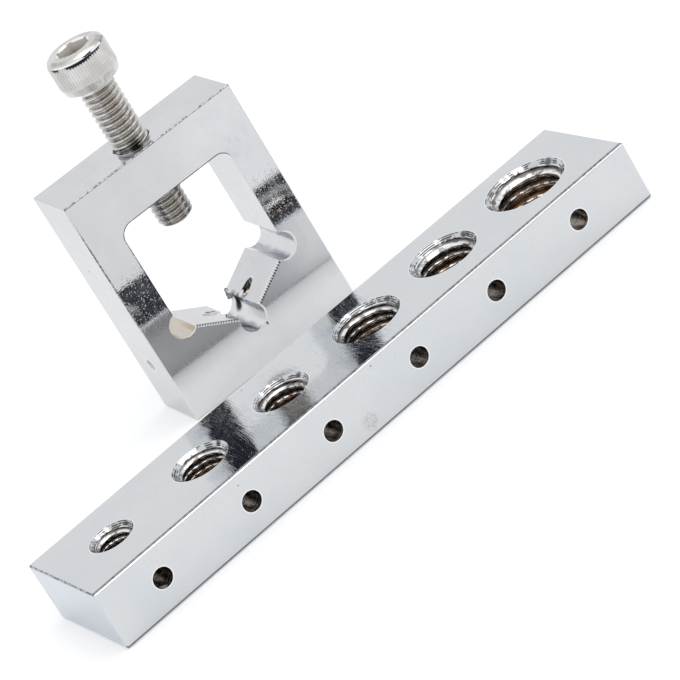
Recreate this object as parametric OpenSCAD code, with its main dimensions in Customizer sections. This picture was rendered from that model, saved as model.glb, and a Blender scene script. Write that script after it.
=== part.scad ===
// Bolt drilling jig: a drill bar with six threaded holes, each met by a drill guide hole,
// and a clamp block whose V seat holds a hexagon head under a socket screw.
// Sizes in millimetres. The set is laid out on one flat surface at z = 0, with its overall
// box centred on the z axis. x runs along the bar from its smallest threaded hole to its
// largest, and y from the bar's guide hole face towards the clamp block.

/* [Drill bar] */
// Length of the bar
bar_l = 105; // [101:1:130]
// Depth of the bar, from its guide hole face to its back
bar_w = 20.7; // [18:0.1:30]
// Thickness of the bar
bar_t = 10; // [7:0.2:14]
// Bevel along the bar's long edges
bar_bevel = 0.35; // [0.2:0.05:1]
// Bevel round the bar's two ends
bar_end_bevel = 0.3; // [0.1:0.1:1]

/* [Threaded holes] */
// Thread size of hole 1, at the bar's small end
thread_1_d = 6; // [4:1:8]
// Thread size of hole 2
thread_2_d = 8; // [5:1:10]
// Thread size of hole 3
thread_3_d = 8; // [5:1:10]
// Thread size of hole 4
thread_4_d = 10; // [6:1:12]
// Thread size of hole 5
thread_5_d = 10; // [6:1:12]
// Thread size of hole 6, at the bar's large end
thread_6_d = 12; // [8:1:14]
// Distance of hole 1 from the bar's small end
hole_1_x = 9.8; // [6:0.1:13]
// Distance of hole 2 from the bar's small end
hole_2_x = 26.8; // [24:0.1:29]
// Distance of hole 3 from the bar's small end
hole_3_x = 42.7; // [40:0.1:45]
// Distance of hole 4 from the bar's small end
hole_4_x = 59.8; // [57:0.1:61]
// Distance of hole 5 from the bar's small end
hole_5_x = 75.5; // [74:0.1:78]
// Distance of hole 6 from the bar's small end
hole_6_x = 92.6; // [91:0.1:93]
// Width of the bevel round both mouths of each threaded hole
hole_bevel = 0.6; // [0.2:0.1:1]
// Diameter of the drill guide holes in the bar's front face
bar_guide_d = 3.2; // [1.5:0.1:4]

/* [Clamp block] */
// Width of the block
block_w = 32; // [29:0.5:40]
// Height of the block
block_h = 40.5; // [38:0.5:50]
// Depth of the block, front face to back face
block_d = 11.8; // [9:0.1:16]
// Bevel on the block's outer edges
block_bevel = 0.15; // [0.1:0.05:0.8]
// Width of the window, between its side walls
window_w = 21; // [17:0.5:24]
// Thickness of the wall over the window, which carries the clamp screw
top_wall = 8; // [5:0.5:10]
// Radius of the window's upper corners
window_corner_r = 2.1; // [1:0.1:4]
// Height of the V seat's apex above the block's underside
vee_z = 7.8; // [6:0.1:10]
// Angle between the two faces of the V seat
vee_angle = 120; // [100:5:130]
// Diameter of the three relief notches of the V seat
relief_d = 4.4; // [3:0.2:5]
// How far the outer notches' centres stand off the window wall and the V face
relief_inset = 0.55; // [0.3:0.05:1]
// Diameter of the drill guide hole across the block
block_guide_d = 2.2; // [1:0.1:2.5]
// Height of that guide hole's axis above the V seat's apex
block_guide_rise = 1.7; // [0.5:0.1:3]

/* [Clamp screw] */
// Thread size of the clamp screw
screw_d = 6; // [4:1:8]
// Length of the screw from under its head to its tip
screw_l = 25.8; // [22:0.2:30]
// Gap between the screw's head and the block, as laid out
screw_gap = 11.4; // [6:0.2:13]
// Diameter of the screw's head
head_d = 9.8; // [9:0.1:14]
// Height of the screw's head
head_h = 6; // [5:0.5:8]
// Width of the bevel on the head's upper rim
head_rim_w = 0.8; // [0.3:0.1:1]
// Height of the bevel on the head's upper rim
head_rim_h = 0.5; // [0.2:0.1:1]
// Width of the bevel under the head
head_foot_w = 0.4; // [0.2:0.1:0.6]
// Height of the bevel under the head
head_foot_h = 1.3; // [0.2:0.1:2]
// Bevel on the screw's tip
tip_bevel = 0.6; // [0.2:0.1:1.2]
// Width across the flats of the hexagon socket
socket_af = 5; // [3:0.5:6]
// Depth of the socket's flats
socket_depth = 3; // [1.5:0.5:3.5]
// Turn of the screw about its axis
socket_turn = 15; // [0:1:60]
// Bevel round the mouth of the screw's threaded hole
screw_hole_bevel = 0.3; // [0.1:0.1:0.8]
// Running clearance between the screw and its hole, on the radius
screw_fit = 0.05; // [0.02:0.01:0.1]

/* [Layout of the set] */
// Distance of the block's front left corner from the bar's small end
block_x = 40; // [10:1:60]
// Distance of the block's front left corner from the bar's front face
block_y = 41.6; // [34:0.1:60]
// Turn of the block on the surface
block_turn = -3.5; // [-8:0.5:8]

/* [Hidden] */
$fn = 96;
// How far every cut runs past the face that it opens
cut_over = 1;
// Angle of the drill point at the bottom of the socket
drill_point = 120;
hexagon = 6;

thread_d = [thread_1_d, thread_2_d, thread_3_d, thread_4_d, thread_5_d, thread_6_d];
hole_x = [hole_1_x, hole_2_x, hole_3_x, hole_4_x, hole_5_x, hole_6_x];
hole_y = bar_w / 2;
guide_z = bar_t / 2;

screw_x = block_w / 2;
screw_y = block_d / 2;
window_left = screw_x - window_w / 2;
window_right = screw_x + window_w / 2;
window_top = block_h - top_wall;
vee_slope = 90 - vee_angle / 2;
vee_end_z = vee_z + window_w / 2 * tan(vee_slope);
block_guide_z = vee_z + block_guide_rise;

head_z = block_h + screw_gap;
head_top_z = head_z + head_h;
tip_z = head_z - screw_l;
head_r = head_d / 2;
shank_r = screw_d / 2 - screw_fit;
socket_point_h = socket_af / 2 / tan(drill_point / 2);

// The outer notch's centre stands relief_inset off both the window wall and the V face
relief_dx = window_w / 2 - relief_inset;
relief_z = vee_z + relief_dx * tan(vee_slope) + relief_inset / cos(vee_slope);

// How far back a corner of the block reaches on the surface
function back_y(x, y) = block_y + x * sin(block_turn) + y * cos(block_turn);
set_depth = max(
    back_y(block_bevel, block_d),
    back_y(block_w - block_bevel, block_d),
    back_y(0, block_d - block_bevel),
    back_y(block_w, block_d - block_bevel)
);

// A rectangle with its four corners cut at 45 degrees
module cut_corner_rect(w, h, c) {
    polygon([[c, 0], [w - c, 0], [w, c], [w, h - c], [w - c, h], [c, h], [0, h - c], [0, c]]);
}

// A box with one bevel on the edges along x and another on the edges round its ends
module bevelled_box(l, w, h, long_bevel, end_bevel) {
    intersection() {
        translate([-cut_over, 0, 0])
            rotate([90, 0, 90])
                linear_extrude(l + 2 * cut_over) cut_corner_rect(w, h, long_bevel);
        translate([0, w + cut_over, 0])
            rotate([90, 0, 0])
                linear_extrude(w + 2 * cut_over) cut_corner_rect(l, h, end_bevel);
        translate([0, 0, -cut_over])
            linear_extrude(h + 2 * cut_over) cut_corner_rect(l, w, end_bevel);
    }
}

// The 45 degree bevel of a hole's mouth, opening upwards at z = 0
module mouth_bevel(d, bevel) {
    translate([0, 0, -bevel])
        cylinder(h = bevel + cut_over, r1 = d / 2, r2 = d / 2 + bevel + cut_over);
}

// A hole from z = 0 up to z = depth, with a bevel at each mouth
module bevelled_hole(d, depth, bevel) {
    translate([0, 0, -cut_over]) cylinder(h = depth + 2 * cut_over, d = d);
    translate([0, 0, depth]) mouth_bevel(d, bevel);
    mirror([0, 0, 1]) mouth_bevel(d, bevel);
}

// The window seen from the front: straight walls, round upper corners, V seat and notches
module window_outline() {
    translate([window_left, vee_end_z])
        square([window_w, window_top - window_corner_r - vee_end_z]);
    translate([window_left + window_corner_r, vee_end_z])
        square([window_w - 2 * window_corner_r, window_top - vee_end_z]);
    for (x = [window_left + window_corner_r, window_right - window_corner_r])
        translate([x, window_top - window_corner_r]) circle(r = window_corner_r);
    polygon([
        [screw_x, vee_z],
        [window_right, vee_end_z],
        [window_right, vee_end_z + cut_over],
        [window_left, vee_end_z + cut_over],
        [window_left, vee_end_z]
    ]);
    translate([screw_x, vee_z]) circle(d = relief_d);
    for (side = [-1, 1])
        translate([screw_x + side * relief_dx, relief_z]) circle(d = relief_d);
}

module drill_bar() {
    color("gainsboro")
        translate([-bar_l / 2, -set_depth / 2, 0])
            difference() {
                bevelled_box(bar_l, bar_w, bar_t, bar_bevel, bar_end_bevel);
                for (i = [0 : len(hole_x) - 1])
                    translate([hole_x[i], hole_y, 0]) {
                        bevelled_hole(thread_d[i], bar_t, hole_bevel);
                        translate([0, 0, guide_z])
                            rotate([90, 0, 0])
                                cylinder(h = hole_y + cut_over, d = bar_guide_d);
                    }
            }
}

// Places what is drawn in the block's own corner frame onto the surface
module on_block() {
    translate([block_x - bar_l / 2, block_y - set_depth / 2, 0])
        rotate([0, 0, block_turn]) children();
}

module clamp_block() {
    color("gainsboro")
        on_block()
            difference() {
                bevelled_box(block_w, block_d, block_h, block_bevel, block_bevel);
                translate([0, block_d + cut_over, 0])
                    rotate([90, 0, 0])
                        linear_extrude(block_d + 2 * cut_over) window_outline();
                translate([screw_x, screw_y, window_top - cut_over])
                    cylinder(h = top_wall + 2 * cut_over, d = screw_d);
                translate([screw_x, screw_y, block_h]) mouth_bevel(screw_d, screw_hole_bevel);
                translate([-cut_over, screw_y, block_guide_z])
                    rotate([0, 90, 0])
                        cylinder(h = block_w + 2 * cut_over, d = block_guide_d);
            }
}

// Half section of the screw without its socket, turned about the y axis of the drawing
module screw_section() {
    polygon([
        [0, tip_z],
        [shank_r - tip_bevel, tip_z],
        [shank_r, tip_z + tip_bevel],
        [shank_r, head_z],
        [head_r - head_foot_w, head_z],
        [head_r, head_z + head_foot_h],
        [head_r, head_top_z - head_rim_h],
        [head_r - head_rim_w, head_top_z],
        [0, head_top_z]
    ]);
}

module hex_socket() {
    translate([0, 0, head_top_z - socket_depth])
        linear_extrude(socket_depth + cut_over)
            circle(d = socket_af / cos(180 / hexagon), $fn = hexagon);
    translate([0, 0, head_top_z - socket_depth - socket_point_h])
        cylinder(h = socket_point_h, r1 = 0, r2 = socket_af / 2);
}

module clamp_screw() {
    color("silver")
        on_block()
            translate([screw_x, screw_y, 0])
                rotate([0, 0, socket_turn])
                    difference() {
                        rotate_extrude() screw_section();
                        hex_socket();
                    }
}

drill_bar();
clamp_block();
clamp_screw();
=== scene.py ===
"""Bolt drilling jig: plated bar with six tapped holes, plated clamp block, and its clamp screw."""
import math

import bmesh
import bpy
from mathutils import Matrix, Vector


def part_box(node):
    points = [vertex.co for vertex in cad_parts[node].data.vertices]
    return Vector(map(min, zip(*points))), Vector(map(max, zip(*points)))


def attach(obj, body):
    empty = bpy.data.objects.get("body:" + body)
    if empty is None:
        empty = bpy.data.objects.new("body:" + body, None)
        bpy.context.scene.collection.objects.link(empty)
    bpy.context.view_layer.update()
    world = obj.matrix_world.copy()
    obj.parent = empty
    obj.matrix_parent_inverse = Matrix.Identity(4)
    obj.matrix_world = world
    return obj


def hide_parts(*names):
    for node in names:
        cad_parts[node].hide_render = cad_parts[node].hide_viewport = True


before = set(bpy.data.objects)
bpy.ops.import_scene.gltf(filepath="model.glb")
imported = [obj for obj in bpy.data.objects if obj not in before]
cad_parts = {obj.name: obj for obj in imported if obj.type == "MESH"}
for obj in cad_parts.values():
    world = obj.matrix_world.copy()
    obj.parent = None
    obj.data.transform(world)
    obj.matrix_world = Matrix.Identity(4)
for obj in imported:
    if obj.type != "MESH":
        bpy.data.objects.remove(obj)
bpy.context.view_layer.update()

MM = 0.001


def box_of(node):
    """The lowest and the highest corner of a CAD node, in millimetres."""
    low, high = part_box(node)
    return [v / MM for v in low], [v / MM for v in high]


def middle_of(node):
    """The middle of a CAD node, in millimetres."""
    return [(low + high) / 2 for low, high in zip(*box_of(node))]


# Camera: where it stands, which way it looks and how it is rolled
CAMERA_PLACE = (-166.04, -456.40, 226.93)
CAMERA_AZIMUTH = -20.920
CAMERA_ELEVATION = 24.703
CAMERA_ROLL = -31.309
CAMERA_LENS = 189.34
CAMERA_SENSOR = 36.0

# Drill bar
(BAR_LEFT, BAR_FRONT, BAR_FOOT), (BAR_RIGHT, BAR_BACK, BAR_TOP) = box_of("drill_bar")
BAR_MIDDLE = middle_of("drill_bar")
# Tapped holes of the bar, from the small end: diameter, distance from the small end, pitch, how brown
TAPPED_HOLES = (
    (6.0, 9.8, 1.0, 0.4),
    (8.0, 26.8, 1.0, 0.6),
    (8.0, 42.7, 1.25, 0.6),
    (10.0, 59.8, 1.25, 0.3),
    (10.0, 75.5, 1.5, 0.35),
    (12.0, 92.6, 1.75, 0.55),
)
MOUTH_BEVEL = 0.6
BAR_GUIDE_D = 3.2

# Clamp block: its lower front left corner on the bench, its turn, and its V seat
BLOCK_CORNER = (-12.5, 14.9156)
BLOCK_TURN = math.radians(-3.5)
BLOCK_LEAN = math.radians(1.4)
BLOCK_DEPTH = 11.8
BLOCK_HEIGHT = 40.5
BLOCK_GUIDE_R = 1.1
BLOCK_GUIDE_Z = 9.5
SCREW_X = 16.0
SCREW_HOLE_R = 3.0
VEE_Z = 7.8
VEE_SLOPE = math.radians(30.0)
RELIEF_R = 2.2
RELIEF_DX = 9.95
RELIEF_Z = 14.18
WINDOW_W = 21.0
WINDOW_TOP = 32.5
WINDOW_CORNER_R = 2.1

# Clamp screw
SCREW_MIDDLE = middle_of("clamp_screw")
SCREW_TIP, SCREW_TOP = (corner[2] for corner in box_of("clamp_screw"))
SCREW_CREST_R = 2.95
SCREW_ROOT_R = 2.42
SCREW_PITCH = 1.0
SCREW_PLAIN = 1.0
HEAD_R = 4.9
HEAD_H = 6.0
HEAD_FOOT = SCREW_TOP - HEAD_H
HEAD_TEETH = 66
HEAD_TOOTH = 0.10
RIM_W = 0.8
FOOT_W = 0.4
FOOT_H = 1.3
TIP_BEVEL = 0.6
SOCKET_AF = 5.0
SOCKET_DEPTH = 3.0
SOCKET_TURN = math.radians(11.5)

# Masks over a place keep some axes and drop the others
LEVEL = (1.0, 1.0, 0.0)
FRONT_VIEW = (1.0, 0.0, 1.0)
SIDE_VIEW = (0.0, 1.0, 1.0)


# Nodes

class Wiring:
    """Makes and joins the nodes of one node tree."""

    def __init__(self, tree):
        self.tree = tree

    def feed(self, socket, value):
        """Joins another node's socket to a socket, or gives it a value."""
        if isinstance(value, bpy.types.NodeSocket):
            self.tree.links.new(value, socket)
        else:
            socket.default_value = value

    def put(self, kind, inputs=None, **settings):
        """A node with its settings and inputs."""
        node = self.tree.nodes.new(kind)
        for name, value in settings.items():
            setattr(node, name, value)
        for name, value in (inputs or {}).items():
            self.feed(node.inputs[name], value)
        return node

    def maths(self, operation, a, b=0.0, c=0.0):
        """Output of a math node."""
        return self.put("ShaderNodeMath", {0: a, 1: b, 2: c}, operation=operation).outputs[0]

    def times(self, a, b):
        """a times b."""
        return self.maths("MULTIPLY", a, b)

    def add_share(self, start, mask, share):
        """A start value and a share of a mask."""
        return self.maths("MULTIPLY_ADD", mask, share, start)

    def vector(self, operation, *values, out=0):
        """Output of a vector math node; for SCALE the second value is the scale."""
        names = (0, "Scale") if operation == "SCALE" else range(3)
        return self.put("ShaderNodeVectorMath", dict(zip(names, values)), operation=operation).outputs[out]

    def stretch(self, place, factors):
        """A place stretched along its axes, or flattened where a factor is 0."""
        return self.vector("MULTIPLY", place, factors)

    def arm(self, place, centre, keep):
        """From a centre to a place, along the kept axes."""
        return self.stretch(self.vector("SUBTRACT", place, centre), keep)

    def dot(self, a, b):
        """Dot product of two vectors."""
        return self.vector("DOT_PRODUCT", a, b, out="Value")

    def length(self, a):
        """Length of a vector."""
        return self.vector("LENGTH", a, out="Value")

    def part(self, place, axis):
        """One part of a vector."""
        return self.put("ShaderNodeSeparateXYZ", {0: place}).outputs[axis]

    def ramp(self, value, low, high, to_low=0.0, to_high=1.0):
        """A value mapped smoothly from one range to another, and held at its ends."""
        ends = {"Value": value, "From Min": low, "From Max": high, "To Min": to_low, "To Max": to_high}
        return self.put("ShaderNodeMapRange", ends, interpolation_type="SMOOTHSTEP").outputs["Result"]

    def band(self, value, middle, half):
        """1 where a value lies near a middle, soft at both ends."""
        off = self.maths("ABSOLUTE", self.maths("SUBTRACT", value, middle))
        return self.ramp(off, half, half * 0.4)

    def noise(self, place, scale, detail=2.0, rough=0.5):
        """Grey noise, about 0 to 1."""
        inputs = {"Vector": place, "Scale": scale, "Detail": detail, "Roughness": rough}
        return self.put("ShaderNodeTexNoise", inputs).outputs["Fac"]

    def mix(self, factor, a, b):
        """A colour between two colours."""
        return self.put("ShaderNodeMix", {0: factor, 6: a, 7: b}, data_type="RGBA").outputs[2]

    def coat(self, colour, mask, strength, tint):
        """A colour with a tint laid over it where a mask says."""
        return self.mix(self.times(mask, strength), colour, tint)

    def effect(self, name, *values):
        """Outputs of a shared effect, placed with its own values."""
        return self.put("ShaderNodeGroup", dict(enumerate(values)), node_tree=EFFECTS[name]).outputs

    def shade(self, shader, colour=None, rough=None, normal=None, metallic=None):
        """Feeds the main sockets of a Principled shader."""
        given = {"Base Color": colour, "Roughness": rough, "Normal": normal, "Metallic": metallic}
        for name, value in given.items():
            if value is not None:
                self.feed(shader.inputs[name], value)


# Shared effects

def ground_grain(w, given):
    """Grinding lines, slightly curved, fine speckle, and the slow waves of a hand-polished face."""
    place = given["Place"]
    drift = w.put("ShaderNodeTexNoise", {"Vector": place, "Scale": 0.06, "Detail": 1.0}).outputs["Color"]
    drift = w.vector("SUBTRACT", drift, (0.5, 0.5, 0.5))
    bent = w.vector("MULTIPLY_ADD", drift, (9.0, 9.0, 9.0), place)
    stretched = w.stretch(bent, given["Stretch"])
    fine = w.noise(stretched, 1.7, 0.0)
    patchy = w.ramp(w.noise(place, 0.11, 1.0), 0.35, 0.65, 0.3)
    lines = w.times(w.add_share(w.noise(stretched, 1.0, 1.0), fine, 0.8), patchy)
    lines = w.times(lines, given["Line Height"])
    speckle = w.times(w.noise(place, 3.4, 1.0, 0.6), given["Speckle Height"])
    waves = w.times(w.noise(place, 0.085, 1.0), given["Wave Height"])
    height = w.maths("ADD", w.maths("ADD", lines, speckle), waves)
    return {"Height": height, "Scratch": w.times(w.ramp(fine, 0.54, 0.66), patchy)}


def rounded_edge(w, given):
    """Normal as if the edges were rounded, and a broken mask that follows those edges."""
    rounded = w.put("ShaderNodeBevel", {"Radius": given["Radius"]}, samples=6).outputs[0]
    flat = w.put("ShaderNodeNewGeometry").outputs["Normal"]
    edge = w.ramp(w.dot(rounded, flat), 0.995, 0.88)
    broken = w.ramp(w.noise(given["Place"], 1.1, 3.0, 0.7), 0.42, 0.60)
    return {"Normal": rounded, "Worn": w.times(edge, broken)}


def small_pits(w, given):
    """Scattered pinholes in the plating."""
    cells = w.put("ShaderNodeTexVoronoi", {"Vector": given["Place"], "Scale": given["Per Millimetre"]})
    luck = w.put("ShaderNodeSeparateColor", {0: cells.outputs["Color"]})
    chosen = w.maths("LESS_THAN", luck.outputs[0], given["Share"])
    reach = w.times(luck.outputs[1], given["Size"])
    return {"Mask": w.times(chosen, w.maths("LESS_THAN", cells.outputs["Distance"], reach))}


def spot_near(w, given):
    """A soft patch round a point, broken up by noise except for the share that is covered."""
    gap = w.vector("DISTANCE", given["Place"], given["Centre"], out="Value")
    patch = w.ramp(w.maths("DIVIDE", gap, given["Radius"]), 1.0, 0.35)
    broken = w.ramp(w.noise(given["Place"], given["Grain"], 2.0, 0.6), 0.45, 0.68)
    return {"Mask": w.times(patch, w.maths("MAXIMUM", broken, given["Cover"]))}


def inside_box(w, given):
    """1 where a point lies deeper than a skin inside a box, which only the walls of its holes do."""
    off = w.vector("ABSOLUTE", w.vector("SUBTRACT", given["Place"], given["Middle"]))
    room = w.vector("SUBTRACT", given["Half Size"], off)
    least = w.maths("MINIMUM", w.maths("MINIMUM", w.part(room, 0), w.part(room, 1)), w.part(room, 2))
    return {"Mask": w.ramp(least, 0.02, 0.10)}


def mouth_lines(w, given):
    """A painted highlight as a bright halo, and dark broken lines, round a hole's mouth; Keep picks the
    plane of the mouth.
    """
    arm = w.vector("SUBTRACT", given["Place"], given["Centre"])
    across = w.stretch(arm, given["Keep"])
    near = w.ramp(w.length(w.vector("SUBTRACT", arm, across)), 0.8, 0.7)
    reach = w.maths("SUBTRACT", w.length(across), given["Radius"])
    rings = w.band(reach, -0.08, 0.09)
    for middle, half in ((-0.31, 0.13), (-0.57, 0.17)):
        rings = w.maths("MAXIMUM", rings, w.band(reach, middle, half))
    broken = w.ramp(w.noise(given["Place"], 0.75, 3.0, 0.7), 0.44, 0.54, 0.12)
    halo = w.times(w.band(reach, 0.10, 0.10), near)
    return {"Halo": halo, "Dark": w.times(w.times(rings, broken), near)}


def edge_line(w, given):
    """A thin line along a straight edge, whole and broken; Keep drops the axis that the edge follows."""
    off = w.length(w.arm(given["Place"], given["Corner"], given["Keep"]))
    solid = w.ramp(w.ramp(off, given["Width"], 0.0), 0.0, 0.35)
    noise = w.noise(given["Place"], 1.7, 3.0, 0.7)
    broken = w.ramp(noise, given["Gaps"], w.maths("ADD", given["Gaps"], 0.08))
    return {"Solid": solid, "Broken": w.times(solid, broken)}


def notch_wall(w, given):
    """The round wall of a relief notch, and the two shaded zones beside its light middle."""
    arm = w.arm(given["Place"], given["Centre"], FRONT_VIEW)
    mask = w.ramp(w.length(arm), RELIEF_R + 0.05, RELIEF_R + 0.02)
    facing = w.dot(w.vector("NORMALIZE", arm), (0.707, 0.0, -0.707))
    waver = w.maths("MULTIPLY_ADD", w.noise(given["Place"], 0.5), 0.3, -0.15)
    shade = w.band(w.maths("ADD", facing, waver), 0.60, 0.34)
    streak = w.noise(w.stretch(given["Place"], (2.6, 0.25, 2.6)), 1.0)
    return {"Mask": mask, "Shade": w.times(shade, mask), "Streak": w.ramp(streak, 0.35, 0.65)}


def studio_card(w, given):
    """Mask of a rectangular card seen from the middle of the studio."""
    ahead = w.dot(given["Direction"], given["Centre"])
    mask = w.maths("GREATER_THAN", ahead, 0.05)
    ahead = w.maths("MAXIMUM", ahead, 0.05)
    for axis, half in (("Side", "Half Width"), ("Up", "Half Height")):
        off = w.maths("DIVIDE", w.dot(given["Direction"], given[axis]), ahead)
        room = w.maths("SUBTRACT", given[half], w.maths("ABSOLUTE", off))
        soft = w.put("ShaderNodeMath", {0: room, 1: given["Softness"]}, operation="DIVIDE", use_clamp=True)
        mask = w.times(mask, soft.outputs[0])
    return {"Mask": mask}


def shared_effect(fill, vectors, numbers, outputs):
    """A shader node group with vector inputs, number inputs and outputs; fill makes its nodes."""
    tree = bpy.data.node_groups.new(fill.__name__.replace("_", " "), "ShaderNodeTree")
    for kind, labels in (("NodeSocketVector", vectors), ("NodeSocketFloat", numbers)):
        for label in labels:
            tree.interface.new_socket(label, in_out="INPUT", socket_type=kind)
    for label in outputs:
        kind = "NodeSocketVector" if label == "Normal" else "NodeSocketFloat"
        tree.interface.new_socket(label, in_out="OUTPUT", socket_type=kind)
    source = tree.nodes.new("NodeGroupInput")
    sink = tree.nodes.new("NodeGroupOutput")
    for label, value in fill(Wiring(tree), source.outputs).items():
        tree.links.new(value, sink.inputs[label])
    return tree


EFFECTS = {
    "grain": shared_effect(
        ground_grain,
        ("Place", "Stretch"),
        ("Line Height", "Speckle Height", "Wave Height"),
        ("Height", "Scratch"),
    ),
    "edge": shared_effect(rounded_edge, ("Place",), ("Radius",), ("Normal", "Worn")),
    "pits": shared_effect(small_pits, ("Place",), ("Per Millimetre", "Share", "Size"), ("Mask",)),
    "spot": shared_effect(spot_near, ("Place", "Centre"), ("Radius", "Grain", "Cover"), ("Mask",)),
    "inside": shared_effect(inside_box, ("Place", "Middle", "Half Size"), (), ("Mask",)),
    "mouth": shared_effect(mouth_lines, ("Place", "Centre", "Keep"), ("Radius",), ("Halo", "Dark")),
    "line": shared_effect(edge_line, ("Place", "Corner", "Keep"), ("Width", "Gaps"), ("Solid", "Broken")),
    "wall": shared_effect(notch_wall, ("Place", "Centre"), (), ("Mask", "Shade", "Streak")),
    "card": shared_effect(
        studio_card,
        ("Direction", "Centre", "Side", "Up"),
        ("Half Width", "Half Height", "Softness"),
        ("Mask",),
    ),
}


# Materials

PLATE_LIGHT = (0.715, 0.728, 0.740, 1.0)
PLATE_COOL = (0.680, 0.705, 0.728, 1.0)
# Pale plate, for worn edges and for painted light on the bar's back and the block's foot
PLATE_WORN_AND_PAINTED_LIGHT = (0.90, 0.90, 0.90, 1.0)
PAINTED_HIGHLIGHT_WHITE = (0.98, 0.98, 0.98, 1.0)
BURR_HIGHLIGHT_WHITE = (0.93, 0.93, 0.935, 1.0)
PIT_DARK = (0.10, 0.09, 0.085, 1.0)
OIL_BROWN = (0.19, 0.10, 0.052, 1.0)
# Black for painted shade and painted dark reflections, and for dark marks
SHADE_AND_MARK_BLACK = (0.022, 0.024, 0.030, 1.0)
STEEL_DARK = (0.13, 0.12, 0.115, 1.0)
STEEL_WARM = (0.46, 0.39, 0.32, 1.0)
RUST_TAN = (0.58, 0.41, 0.27, 1.0)
BORE_PAINTED_LIGHT = (0.50, 0.45, 0.39, 1.0)
BLOCK_LIGHT = (0.705, 0.715, 0.728, 1.0)
BLOCK_COOL = (0.665, 0.682, 0.702, 1.0)
BLOCK_DIM = (0.615, 0.620, 0.632, 1.0)
EDGE_GREY = (0.36, 0.365, 0.375, 1.0)
EDGE_PALE = (0.54, 0.55, 0.56, 1.0)
FOOT_SHADE = (0.07, 0.08, 0.11, 1.0)
PAINTED_BLUE_REFLECTION = (0.60, 0.665, 0.75, 1.0)
BACK_PAINTED_SHADE = (0.42, 0.415, 0.41, 1.0)
NOTCH_BEIGE = (0.68, 0.61, 0.52, 1.0)
NOTCH_SHADE = (0.31, 0.335, 0.38, 1.0)
SCREW_LIGHT = (0.74, 0.73, 0.715, 1.0)
SCREW_GREY = (0.62, 0.61, 0.595, 1.0)
SCREW_DIRT = (0.20, 0.165, 0.135, 1.0)
SCREW_DARK_REFLECTION = (0.42, 0.385, 0.35, 1.0)
SOCKET_SHADE = (0.34, 0.30, 0.26, 1.0)
SOCKET_BEIGE = (0.74, 0.70, 0.65, 1.0)


def new_material(name):
    """An empty material, its wiring and its Principled shader, already on the output."""
    material = bpy.data.materials.new(name)
    material.use_nodes = True
    material.node_tree.nodes.clear()
    w = Wiring(material.node_tree)
    shader = w.put("ShaderNodeBsdfPrincipled")
    w.put("ShaderNodeOutputMaterial", {"Surface": shader.outputs[0]}, name="sink")
    return material, w, shader


def place_in_mm(w):
    """Object coordinates in millimetres, which ride with the piece."""
    return w.vector("SCALE", w.put("ShaderNodeTexCoord").outputs["Object"], 1.0 / MM)


def place_on_block(w):
    """Millimetres from the clamp block's lower front left corner, along its own edges."""
    arm = w.vector("SUBTRACT", place_in_mm(w), (*BLOCK_CORNER, 0.0))
    c, s = math.cos(BLOCK_TURN), math.sin(BLOCK_TURN)
    edges = ((c, s, 0.0), (-s, c, 0.0), (0.0, 0.0, 1.0))
    parts = {axis: w.dot(arm, edge) for axis, edge in enumerate(edges)}
    return w.put("ShaderNodeCombineXYZ", parts).outputs[0]


def bump_normal(w, height, normal=None):
    """Normal from a height in millimetres."""
    inputs = {"Height": height, "Distance": MM}
    if normal is not None:
        inputs["Normal"] = normal
    return w.put("ShaderNodeBump", inputs).outputs["Normal"]


class Plating:
    """A plated material in the making, with its place, colour and roughness so far."""

    def __init__(self, name, find_place):
        self.material, self.w, self.shader = new_material(name)
        self.place = find_place(self.w)

    def recolour(self, colour, rough=None):
        """Another colour, and another roughness where one is given."""
        self.colour = colour
        self.rough = self.rough if rough is None else rough
        self.w.shade(self.shader, self.colour, self.rough)


def plated_steel(name, finish, mouths, lines):
    """
    Bright nickel-like plating over ground steel.
    mouths: centre, kept axes, radius, halo, dark.
    lines: corner, kept axes, width, gaps, colour and its strength, dark strength.
    """
    made = Plating(name, finish["find_place"])
    w, place = made.w, made.place
    line_height = w.times(finish["line_zone"](w, place), finish["line_height"])
    grain = w.effect(
        "grain", place, finish["stretch"], line_height, finish["speckle_height"], finish["wave_height"]
    )
    rounded = w.effect("edge", place, 0.14 * MM)["Normal"]
    worn = w.effect("edge", place, finish["mark_radius"] * MM)["Worn"]
    pits = w.effect("pits", place, 0.42, finish["pits"], 0.075)["Mask"]
    frost = w.effect("pits", place, 5.0, finish["frost"], 0.60)["Mask"]
    upward = w.part(place, 2)
    frost = w.times(frost, w.band(upward, *finish["frost_band"]))

    cloud = w.ramp(w.noise(place, 0.09, 4.0, 0.6), 0.35, 0.65)
    colour = finish["tone"](w, place, w.mix(cloud, finish["light"], finish["cool"]))
    worn = w.times(worn, finish["edge_zone"](w, place))
    colour = w.coat(colour, worn, finish["edge_strength"], finish["edge_colour"])
    for centre, keep, radius, halo, dark in mouths:
        rings = w.effect("mouth", place, centre, keep, radius)
        # Painted highlight: a white halo round each mouth
        colour = w.coat(colour, rings["Halo"], halo, PAINTED_HIGHLIGHT_WHITE)
        colour = w.coat(colour, rings["Dark"], dark, PIT_DARK)
    for corner, keep, width, gaps, tint, strength, dark in lines:
        line = w.effect("line", place, corner, keep, width, gaps)
        colour = w.coat(colour, line["Solid"], strength, tint)
        colour = w.coat(colour, line["Broken"], dark, PIT_DARK)
    colour = w.coat(colour, pits, 0.7, PIT_DARK)

    rough = w.ramp(w.noise(place, 0.3, 3.0), 0.3, 0.7, 0.03, 0.065)
    for mask, share in ((pits, 0.3), (grain["Scratch"], finish["scatter"]), (frost, 0.27)):
        rough = w.add_share(rough, mask, share)
    height = w.add_share(grain["Height"], pits, -0.01)
    height = w.add_share(height, upward, finish["lean"])
    w.shade(made.shader, normal=bump_normal(w, height, rounded), metallic=1.0)
    made.recolour(colour, rough)
    return made


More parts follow.
